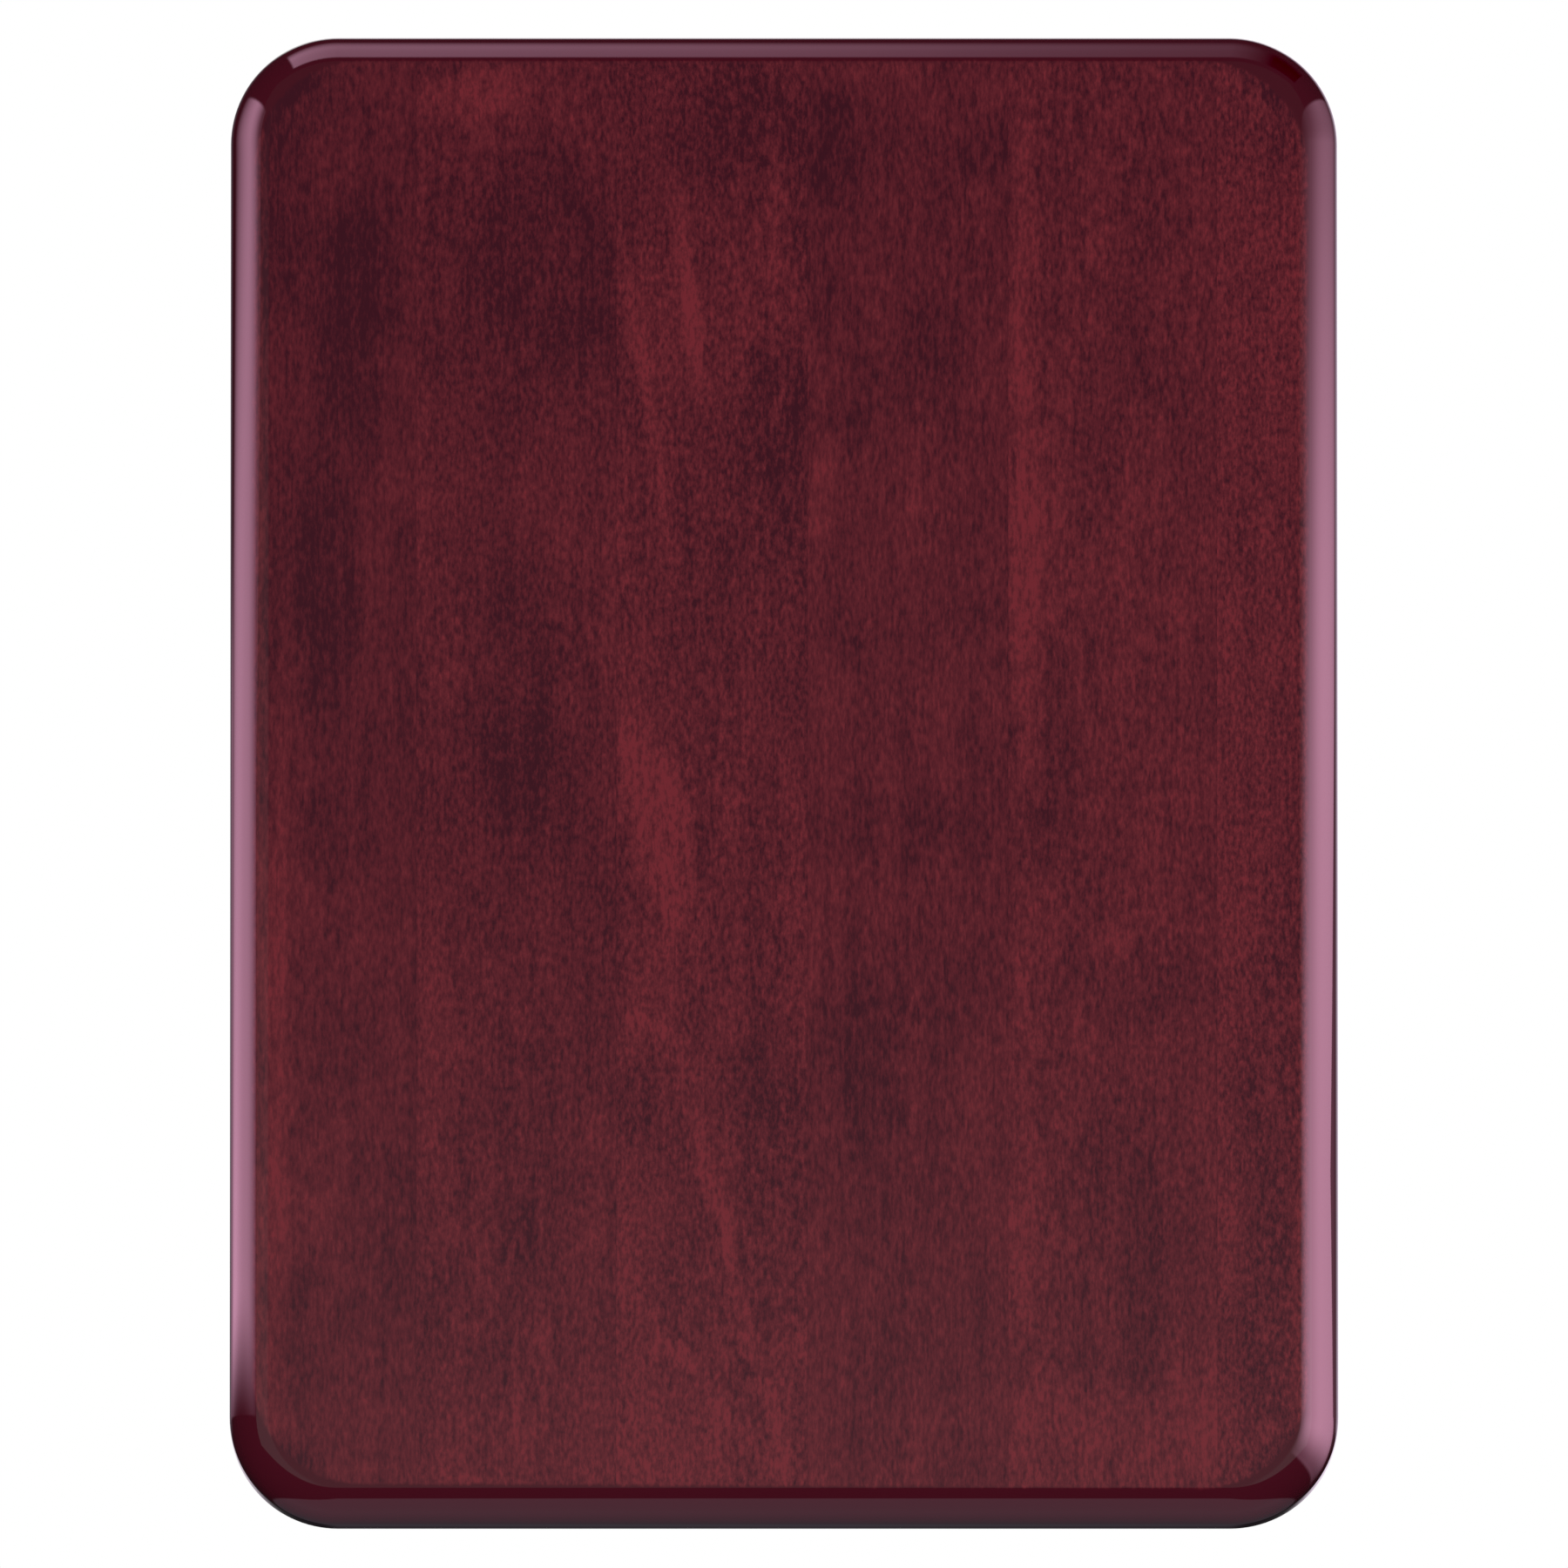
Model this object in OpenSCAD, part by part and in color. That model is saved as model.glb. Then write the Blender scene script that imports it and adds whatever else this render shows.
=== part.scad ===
// Wall plaque: an edge-glued board with a rounded front edge, a flocked backing
// sheet, and two recessed keyhole plates, one for each way of hanging it.
// The plaque stands upright: X is to the right, Z is up and the front faces -Y.
// The origin is the middle of the backing sheet's outer face, where the wall is.

/* [Board] */
// Width of the board, across the grain
board_w = 226; // [190:0.1:300]
// Height of the board, along the grain
board_h = 304.8; // [220:0.1:400]
// Thickness of the board
board_t = 19; // [15:0.5:25]
// Radius of the four corners, seen from the front
corner_r = 22; // [16:0.5:30]
// Radius of the round-over on the front edge
edge_r = 8; // [4:0.5:9]
// Radius of the eased back edge
back_edge_r = 1.5; // [0.5:0.5:3]

/* [Staves] */
// Place of the leftmost glue joint, from the board's centre line
first_joint_x = -75; // [-80:0.1:-70]
// Widths of the four inner staves, from left to right
inner_stave_w = [40.8, 39, 40.9, 42.6]; // [34:0.1:52]

/* [Backing sheet] */
// Thickness of the backing sheet
backing_t = 0.6; // [0.3:0.1:1.5]
// How far the backing sheet stops short of the board's outline
backing_inset = 4; // [3:0.5:10]

/* [Keyhole plates] */
// Length of a keyhole plate
plate_l = 52; // [48:1:64]
// Thickness of a keyhole plate
plate_t = 1.2; // [0.8:0.1:2]
// Width of the wood under a plate's edge, above and below the pocket
plate_ledge = 1.2; // [0.8:0.1:3]
// Distance from a plate's centre to the board edge above it
plate_inset = 36; // [26:1:50]
// Gap between a plate and the recess around it
plate_gap = 0.3; // [0.1:0.1:0.6]

/* [Keyholes] */
// Radius of the round hole that a wall screw's head goes through
entry_r = 4.6; // [4:0.1:5]
// Half the width of the slot that holds the wall screw's shank
slot_r = 2.3; // [2.1:0.1:3]
// How far a wall screw travels, from the round hole to the slot's end
slot_travel = 7; // [5:0.5:8]
// How much wider than the round hole the pocket behind it is, each way
pocket_margin = 1.4; // [1:0.1:2]
// Depth of the pocket behind a keyhole, from the back of the board
pocket_depth = 9; // [7:0.5:12]

/* [Plate screws] */
// Distance from a screw's centre to the plate's end
screw_inset = 9; // [6:0.5:10]
// Length of a plate screw
screw_l = 12; // [9:0.5:13]
// Radius of a plate screw's head
screw_head_r = 2.8; // [2.4:0.1:3.2]
// Depth of the straight rim around a plate screw's head
head_rim = 0.25; // [0.1:0.05:0.4]
// Radius of a plate screw's thread
thread_r = 1.45; // [1.3:0.05:1.6]
// Radius of a plate screw's core
core_r = 1.0; // [0.8:0.05:1.1]
// Distance from one thread crest to the next
thread_pitch = 1.1; // [0.9:0.1:1.4]
// Length of a plate screw's pointed tip
tip_l = 2.4; // [1.5:0.1:3]
// Gap between a screw's thread and the hole through the plate
shank_gap = 0.15; // [0.1:0.05:0.3]
// How far a pilot hole runs past the screw's tip
pilot_run_out = 1; // [0.5:0.5:2]

/* [Hidden] */
$fn = 96;
eps = 0.01;

stave_names = [for (i = [1 : len(inner_stave_w) + 2]) str("stave_", i)];

// Heights above the wall, with the plaque on its back
board_back = backing_t;
board_front = board_back + board_t;

// Glue joints and outer edges, from left to right
function sum_to(v, n) = n == 0 ? 0 : v[n - 1] + sum_to(v, n - 1);
joint_x = [for (i = [0 : len(inner_stave_w)]) first_joint_x + sum_to(inner_stave_w, i)];
stave_edge_x = concat([-board_w / 2], joint_x, [board_w / 2]);

// The pocket is as long as a screw head's travel, and the plate covers it with its ledge
pocket_r = entry_r + pocket_margin;
plate_w = slot_travel + 2 * (pocket_r + plate_ledge);
plate_straight = plate_l - plate_w;
recess_r = plate_w / 2 + plate_gap;
screw_spacing = plate_l - 2 * screw_inset;

// The cone under a screw's head is 90 degrees, so it is as deep as it is wide
head_depth = head_rim + screw_head_r - core_r;
thread_start = head_depth + thread_pitch;
thread_count = floor((screw_l - tip_l - thread_start) / thread_pitch);
drive_slot_w = 0.8;
drive_slot_l = screw_head_r * 1.15;
drive_slot_depth = head_depth * 0.6;

wood_red = [0.36, 0.10, 0.13];
flock_black = [0.06, 0.06, 0.07];
plate_zinc = [0.74, 0.74, 0.72];
screw_zinc = [0.82, 0.80, 0.72];

// Stands a piece up that is drawn lying on its back
module stand_up() {
    rotate([90, 0, 0]) children();
}

// Moves a hanger's pieces to its place: the top middle, or the right middle for landscape
module at_portrait_hanger() {
    translate([0, board_h / 2 - plate_inset]) children();
}

module at_landscape_hanger() {
    translate([board_w / 2 - plate_inset, 0]) rotate(-90) children();
}

module at_each_hanger() {
    at_portrait_hanger() children();
    at_landscape_hanger() children();
}

module at_each_screw() {
    for (side = [-1, 1])
        translate([side * screw_spacing / 2, 0]) children();
}

// Two half circles of radius r, joined by straights
module stadium(straight, r) {
    square([straight, 2 * r], center = true);
    for (side = [-1, 1])
        translate([side * straight / 2, 0]) circle(r);
}

// Section of the board from a line inside it out to its edge, reach away
module edge_section(reach) {
    translate([0, board_back]) square([reach - back_edge_r, back_edge_r]);
    translate([0, board_back + back_edge_r])
        square([reach, board_t - back_edge_r - edge_r]);
    translate([0, board_front - edge_r]) square([reach - edge_r, edge_r]);
    translate([reach - edge_r, board_front - edge_r])
        intersection() {
            circle(edge_r);
            square(edge_r);
        }
    translate([reach - back_edge_r, board_back + back_edge_r])
        intersection() {
            circle(back_edge_r);
            translate([0, -back_edge_r]) square(back_edge_r);
        }
}

// A straight run of edge, out along +X, with its length along Y
module edge_run(reach, length) {
    rotate([90, 0, 0]) linear_extrude(length, center = true) edge_section(reach);
}

// The whole glued board, before it is parted at its joints
module board() {
    for (turn = [0, 180])
        rotate(turn) edge_run(board_w / 2, board_h - 2 * corner_r);
    for (turn = [90, 270])
        rotate(turn)
            translate([board_h / 2 - corner_r, 0])
                edge_run(corner_r, board_w - 2 * corner_r);
    for (x_side = [0, 1], y_side = [0, 1])
        mirror([x_side, 0]) mirror([0, y_side])
            translate([board_w / 2 - corner_r, board_h / 2 - corner_r])
                rotate_extrude(angle = 90) edge_section(corner_r);
}

// What is taken out of the board for one hanger. A screw's thread cuts its own way
// into the wood, so each screw hole has the screw's shape, with the pilot hole past it.
module hanger_cut() {
    translate([0, 0, board_back - eps]) {
        linear_extrude(plate_t + eps) stadium(plate_straight, recess_r);
        linear_extrude(pocket_depth + eps) rotate(90) stadium(slot_travel, pocket_r);
    }
    at_each_screw() {
        rotate_extrude() polygon(screw_outline);
        translate([0, 0, board_back + screw_l - tip_l])
            cylinder(h = tip_l + pilot_run_out, r = core_r);
    }
}

// One stave of the board, from the glue joint on its left to the one on its right
module stave(index) {
    left = stave_edge_x[index];
    right = stave_edge_x[index + 1];
    color(wood_red) stand_up() difference() {
        intersection() {
            board();
            translate([left, -board_h / 2, board_back])
                cube([right - left, board_h, board_t]);
        }
        at_each_hanger() hanger_cut();
    }
}

// Outline of the backing sheet
module backing_outline() {
    half_w = board_w / 2 - backing_inset;
    half_h = board_h / 2 - backing_inset;
    r = corner_r - backing_inset;
    square([2 * half_w, 2 * (half_h - r)], center = true);
    square([2 * (half_w - r), 2 * half_h], center = true);
    for (x_side = [-1, 1], y_side = [-1, 1])
        translate([x_side * (half_w - r), y_side * (half_h - r)]) circle(r);
}

// The recesses are routed through the sheet, so its openings have the same outline
module backing_sheet() {
    color(flock_black) stand_up() linear_extrude(backing_t) difference() {
        backing_outline();
        at_each_hanger() stadium(plate_straight, recess_r);
    }
}

// Flat steel plate, set flush with the back of the board, countersunk for its screws
module keyhole_plate() {
    color(plate_zinc) difference() {
        translate([0, 0, board_back]) linear_extrude(plate_t) difference() {
            stadium(plate_straight, plate_w / 2);
            translate([0, -slot_travel / 2]) circle(entry_r);
            rotate(90) stadium(slot_travel, slot_r);
            at_each_screw() circle(thread_r + shank_gap);
        }
        at_each_screw() rotate_extrude() polygon(screw_outline);
    }
}

// Half the outline of a wood screw set in the board, from the top of its head to its tip
thread_points = [
    for (i = [0 : thread_count - 1], p = [[0, 0], [1, 0.35], [0, 0.7]])
        [
            core_r + p[0] * (thread_r - core_r),
            board_back + thread_start + (i + p[1]) * thread_pitch
        ]
];
screw_outline = concat(
    [
        [0, board_back],
        [screw_head_r, board_back],
        [screw_head_r, board_back + head_rim],
        [core_r, board_back + head_depth],
    ],
    thread_points,
    [[core_r, board_back + screw_l - tip_l], [0, board_back + screw_l]]
);

module plate_screw() {
    difference() {
        rotate_extrude() polygon(screw_outline);
        for (turn = [0, 90])
            rotate(turn)
                translate([-drive_slot_l / 2, -drive_slot_w / 2, board_back - eps])
                    cube([drive_slot_l, drive_slot_w, drive_slot_depth + eps]);
    }
}

module plate_screws() {
    color(screw_zinc) at_each_screw() plate_screw();
}

for (i = [0 : len(stave_names) - 1])
    stave(i);
backing_sheet();
stand_up() at_portrait_hanger() keyhole_plate();  // portrait_keyhole_plate
stand_up() at_portrait_hanger() plate_screws();  // portrait_plate_screws
stand_up() at_landscape_hanger() keyhole_plate();  // landscape_keyhole_plate
stand_up() at_landscape_hanger() plate_screws();  // landscape_plate_screws
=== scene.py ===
"""A lacquered wall plaque: glued staves, a felt back and two keyhole plates with screws.

Everything is in metres in the part's own frame: the front faces -Y, +Z is up, and the wall
is at y = 0. Sizes named in millimetres carry the ending _mm.
"""

import logging
import math
from collections.abc import Callable, Sequence
from dataclasses import dataclass, field
from enum import Enum

import bmesh
import bpy
from mathutils import Matrix, Vector


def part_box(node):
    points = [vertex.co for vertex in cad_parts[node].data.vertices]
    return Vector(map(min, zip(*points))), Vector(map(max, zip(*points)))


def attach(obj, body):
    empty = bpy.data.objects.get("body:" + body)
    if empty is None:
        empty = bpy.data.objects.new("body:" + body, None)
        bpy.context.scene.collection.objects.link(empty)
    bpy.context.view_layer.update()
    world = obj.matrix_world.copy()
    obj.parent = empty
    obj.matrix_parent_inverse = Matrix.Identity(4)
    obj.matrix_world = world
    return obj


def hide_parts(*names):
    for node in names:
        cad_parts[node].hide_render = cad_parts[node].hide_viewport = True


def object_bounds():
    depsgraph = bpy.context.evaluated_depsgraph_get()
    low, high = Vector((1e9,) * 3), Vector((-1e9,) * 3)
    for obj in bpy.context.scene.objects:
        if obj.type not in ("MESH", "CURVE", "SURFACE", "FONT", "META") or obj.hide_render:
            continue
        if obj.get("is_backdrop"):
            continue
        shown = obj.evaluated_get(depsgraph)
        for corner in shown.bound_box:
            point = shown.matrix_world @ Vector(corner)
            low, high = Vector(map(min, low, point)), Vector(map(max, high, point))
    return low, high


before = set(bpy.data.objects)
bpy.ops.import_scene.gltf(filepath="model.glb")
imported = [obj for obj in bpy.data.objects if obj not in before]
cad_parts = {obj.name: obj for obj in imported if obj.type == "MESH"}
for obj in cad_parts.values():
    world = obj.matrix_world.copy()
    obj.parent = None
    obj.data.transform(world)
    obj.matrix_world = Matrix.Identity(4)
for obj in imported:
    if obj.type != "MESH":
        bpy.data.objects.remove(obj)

MM = 0.001
log = logging.getLogger("plaque")


# ---------------------------------------------------------------- shader arithmetic


class Wire:
    """A node's output that takes part in arithmetic like a number."""

    def __init__(self, tree: "Tree", socket: bpy.types.NodeSocket) -> None:
        """Keep the socket and the tree it belongs to."""
        self.tree = tree
        self.socket = socket

    def _math(self, operation: str, *terms: "Wire | float") -> "Wire":
        """Add a Math node for the terms, in their order."""
        node = self.tree.add("ShaderNodeMath", {"operation": operation}, dict(enumerate(terms)))
        return self.tree.out(node)

    def __add__(self, other: "Wire | float") -> "Wire":
        """Sum."""
        return self._math("ADD", self, other)

    def __radd__(self, other: float) -> "Wire":
        """Sum, with the number first."""
        return self._math("ADD", other, self)

    def __sub__(self, other: "Wire | float") -> "Wire":
        """Difference."""
        return self._math("SUBTRACT", self, other)

    def __rsub__(self, other: float) -> "Wire":
        """Difference, with the number first."""
        return self._math("SUBTRACT", other, self)

    def __mul__(self, other: "Wire | float") -> "Wire":
        """Product."""
        return self._math("MULTIPLY", self, other)

    def __rmul__(self, other: float) -> "Wire":
        """Product, with the number first."""
        return self._math("MULTIPLY", other, self)

    def __truediv__(self, other: "Wire | float") -> "Wire":
        """Quotient."""
        return self._math("DIVIDE", self, other)

    def __rtruediv__(self, other: float) -> "Wire":
        """Quotient, with the number first."""
        return self._math("DIVIDE", other, self)

    def __neg__(self) -> "Wire":
        """Change of sign."""
        return self._math("MULTIPLY", self, -1.0)

    def __abs__(self) -> "Wire":
        """Size without sign."""
        return self._math("ABSOLUTE", self)

    def at_least(self, other: "Wire | float") -> "Wire":
        """The larger of the two."""
        return self._math("MAXIMUM", self, other)

    def at_most(self, other: "Wire | float") -> "Wire":
        """The smaller of the two."""
        return self._math("MINIMUM", self, other)

    def root(self) -> "Wire":
        """The square root."""
        return self._math("SQRT", self)

    def ramp(self, start: float, end: float) -> "Wire":
        """Go smoothly from 0 at start to 1 at end.

        Args:
            start: The value that gives 0. It may be above end, for a ramp that falls.
            end: The value that gives 1.

        Returns:
            A wire between 0 and 1.
        """
        low, high = sorted((start, end))
        node = self.tree.add(
            "ShaderNodeMapRange",
            {"interpolation_type": "SMOOTHSTEP"},
            {"Value": self, "From Min": low, "From Max": high},
        )
        rising = self.tree.out(node, "Result")
        return rising if start < end else 1.0 - rising


class Tree:
    """A node tree that starts empty and is filled by one method."""

    def __init__(self, tree: bpy.types.NodeTree) -> None:
        """Empty the tree."""
        self.tree = tree
        self.tree.nodes.clear()

    def add(
        self,
        kind: str,
        settings: dict[str, object] | None = None,
        inputs: dict[str | int, object] | None = None,
    ) -> bpy.types.Node:
        """Add one node.

        Args:
            kind: The node's type.
            settings: What is set before its sockets, with a colour ramp's "stops" as
                pairs of a place and a colour.
            inputs: A value, a colour or a Wire for each named or numbered socket.

        Returns:
            The node.
        """
        node = self.tree.nodes.new(kind)
        for name, value in (settings or {}).items():
            if name == "stops":
                self._set_stops(node.color_ramp.elements, value)
            else:
                setattr(node, name, value)
        for name, value in (inputs or {}).items():
            if isinstance(value, Wire):
                self.tree.links.new(value.socket, node.inputs[name])
            else:
                node.inputs[name].default_value = value
        return node

    @staticmethod
    def _set_stops(elements: bpy.types.ColorRampElements, stops: Sequence[tuple]) -> None:
        """Give a colour ramp its stops.

        Args:
            elements: The ramp's stops.
            stops: A place and a colour for each stop.
        """
        while len(elements) < len(stops):
            elements.new(1.0)
        for element, (place, colour) in zip(elements, stops):
            element.position = place
            element.color = (*colour, 1.0)

    def out(self, node: bpy.types.Node, name: str | int = 0) -> Wire:
        """One of a node's outputs, as a Wire."""
        return Wire(self, node.outputs[name])

    def point(self) -> Wire:
        """The point on the object, in metres."""
        return self.out(self.add("ShaderNodeTexCoord"), "Object")

    def split(self, vector: Wire) -> tuple[Wire, Wire, Wire]:
        """The three parts of a vector."""
        node = self.add("ShaderNodeSeparateXYZ", {}, {0: vector})
        return self.out(node, 0), self.out(node, 1), self.out(node, 2)

    def cells(
        self,
        vector: Wire,
        size_mm: Sequence[float],
        centre_mm: Sequence[float] = (0.0, 0.0, 0.0),
        turn: float = 0.0,
    ) -> Wire:
        """Measure a point in cells of a given size.

        Args:
            vector: The point, in metres.
            size_mm: The cell's size along each axis.
            centre_mm: The point that becomes 0.
            turn: How far the cells lean over in the plane of the front, in degrees.

        Returns:
            The point counted in cells.
        """
        node = self.add(
            "ShaderNodeMapping",
            {"vector_type": "TEXTURE"},
            {
                "Vector": vector,
                "Location": [c * MM for c in centre_mm],
                "Rotation": (0.0, math.radians(turn), 0.0),
                "Scale": [s * MM for s in size_mm],
            },
        )
        return self.out(node)

    def noise(self, cells: Wire, detail: float = 0.0, roughness: float = 0.5) -> Wire:
        """Smooth noise with one lump to a cell.

        Args:
            cells: The point, counted in cells.
            detail: How many finer layers lie on top.
            roughness: How strong each finer layer is beside the one before it.

        Returns:
            A value around 0, from about -0.5 to 0.5.
        """
        node = self.add(
            "ShaderNodeTexNoise",
            {"noise_dimensions": "3D"},
            {"Vector": cells, "Scale": 1.0, "Detail": detail, "Roughness": roughness},
        )
        return self.out(node, 0) - 0.5

    def _vector(self, operation: str, terms: dict[int | str, object], result: str = "Vector") -> Wire:
        """Add a Vector Math node for the terms."""
        return self.out(self.add("ShaderNodeVectorMath", {"operation": operation}, terms), result)

    def length(self, vector: Wire) -> Wire:
        """The length of a vector."""
        return self._vector("LENGTH", {0: vector}, "Value")

    def shift(self, vector: Wire, size_mm: Sequence[float], by_mm: Sequence[float]) -> Wire:
        """Push a point about by noise, so that edges and lines drawn with it wander.

        Args:
            vector: The point, in metres.
            size_mm: The size of the noise's cells.
            by_mm: How far the point moves along each axis.

        Returns:
            The moved point, in metres.
        """
        cells = self.cells(vector, size_mm)
        lumps = self.add("ShaderNodeTexNoise", {}, {"Vector": cells, "Scale": 1.0, "Detail": 2.0})
        centred = self._vector("SUBTRACT", {0: self.out(lumps, "Color"), 1: (0.5, 0.5, 0.5)})
        reach = [2.0 * distance * MM for distance in by_mm]
        return self._vector("MULTIPLY_ADD", {0: centred, 1: reach, 2: vector})

    def colour_ramp(self, place: Wire, stops: Sequence[tuple]) -> Wire:
        """Look a value up in a row of colours."""
        return self.out(self.add("ShaderNodeValToRGB", {"stops": stops}, {"Fac": place}), "Color")

    def mix(self, factor: Wire, first: object, second: object) -> Wire:
        """Blend two colours.

        Args:
            factor: 0 for the first colour and 1 for the second.
            first: A colour, as four parts or a Wire.
            second: A colour, as four parts or a Wire.

        Returns:
            The blend.
        """
        settings = {"data_type": "RGBA", "clamp_factor": True}
        return self.out(self.add("ShaderNodeMix", settings, {0: factor, 6: first, 7: second}), 2)

    def tinted(self, strength: Wire, colour: Sequence[float]) -> Wire:
        """A colour as strong as a value says."""
        return self._vector("SCALE", {0: tuple(colour), "Scale": strength})

    def bump(self, height: Wire, depth_mm: float) -> Wire:
        """Turn a height from 0 to 1 into a surface normal."""
        inputs = {"Strength": 1.0, "Distance": depth_mm * MM, "Height": height}
        return self.out(self.add("ShaderNodeBump", {}, inputs))


class Finish:
    """A surface that a material can be made of. Its colours are linear light."""

    name = "finish"

    def paint(self, tree: Tree) -> dict[str, object]:
        """Draw the surface and return what goes on the shader's sockets."""
        raise NotImplementedError

    def shader(self, tree: Tree) -> bpy.types.Node:
        """Add the shader that shows the surface."""
        return tree.add("ShaderNodeBsdfPrincipled", {}, self.paint(tree))

    def material(self) -> bpy.types.Material:
        """Make the material.

        Returns:
            The material.
        """
        material = bpy.data.materials.new(self.name)
        material.use_nodes = True
        tree = Tree(material.node_tree)
        shader = self.shader(tree)
        tree.add("ShaderNodeOutputMaterial", {}, {"Surface": tree.out(shader)})
        return material


# ---------------------------------------------------------------- finishes


@dataclass(frozen=True)
class Cloud:
    """A patch of the stain that took darker or lighter than the wood around it.

    Places are in millimetres from the middle of the board, and change counts in the
    stain's tone, where 1 is the whole way from its darkest to its lightest.
    """

    x_mm: float
    z_mm: float
    half_width_mm: float
    half_height_mm: float
    change: float
    turn: float = 0.0


@dataclass(frozen=True)
class GlazeEdge:
    """Where the opaque glaze on the round-over gives way to the stained front.

    It was sprayed by hand, so it ends a little farther in on some sides than on others.
    Each side's place is in millimetres from the middle of the board.
    """

    left_mm: float
    right_mm: float
    bottom_mm: float
    top_mm: float
    corner_mm: float
    bottom_lean: float = 0.005

    def inside(self, x_mm: Wire, z_mm: Wire) -> Wire:
        """How far in from the end of the glaze a point is.

        Args:
            x_mm: The point's place across the board, in millimetres.
            z_mm: Its height, in millimetres.

        Returns:
            The distance in millimetres.
        """
        bottom_mm = self.bottom_mm - x_mm * self.bottom_lean
        past_x = (x_mm - self.right_mm).at_least(self.left_mm - x_mm) + self.corner_mm
        past_z = (z_mm - self.top_mm).at_least(bottom_mm - z_mm) + self.corner_mm
        out_x, out_z = past_x.at_least(0.0), past_z.at_least(0.0)
        round_part = (out_x * out_x + out_z * out_z).root()
        straight_part = past_x.at_least(past_z).at_most(0.0)
        return self.corner_mm - round_part - straight_part

    def near_corner(self, x_mm: Wire, z_mm: Wire) -> Wire:
        """Whether a point is in one of the four corners, from 0 to 1.

        Args:
            x_mm: The point's place across the board, in millimetres.
            z_mm: Its height, in millimetres.

        Returns:
            1 in a corner and 0 well away from it.
        """
        start, full = 16.0, 5.0
        across = abs(x_mm).ramp(self.right_mm - start, self.right_mm - full)
        return across * abs(z_mm).ramp(self.top_mm - start, self.top_mm - full)


@dataclass(frozen=True)
class StaveLook:
    """What sets the wood of one stave apart: its tone, its flecks and its patches."""

    tone: float
    fleck_mm: tuple[float, float]
    fleck_depth: float
    clouds: tuple[Cloud, ...]


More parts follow.
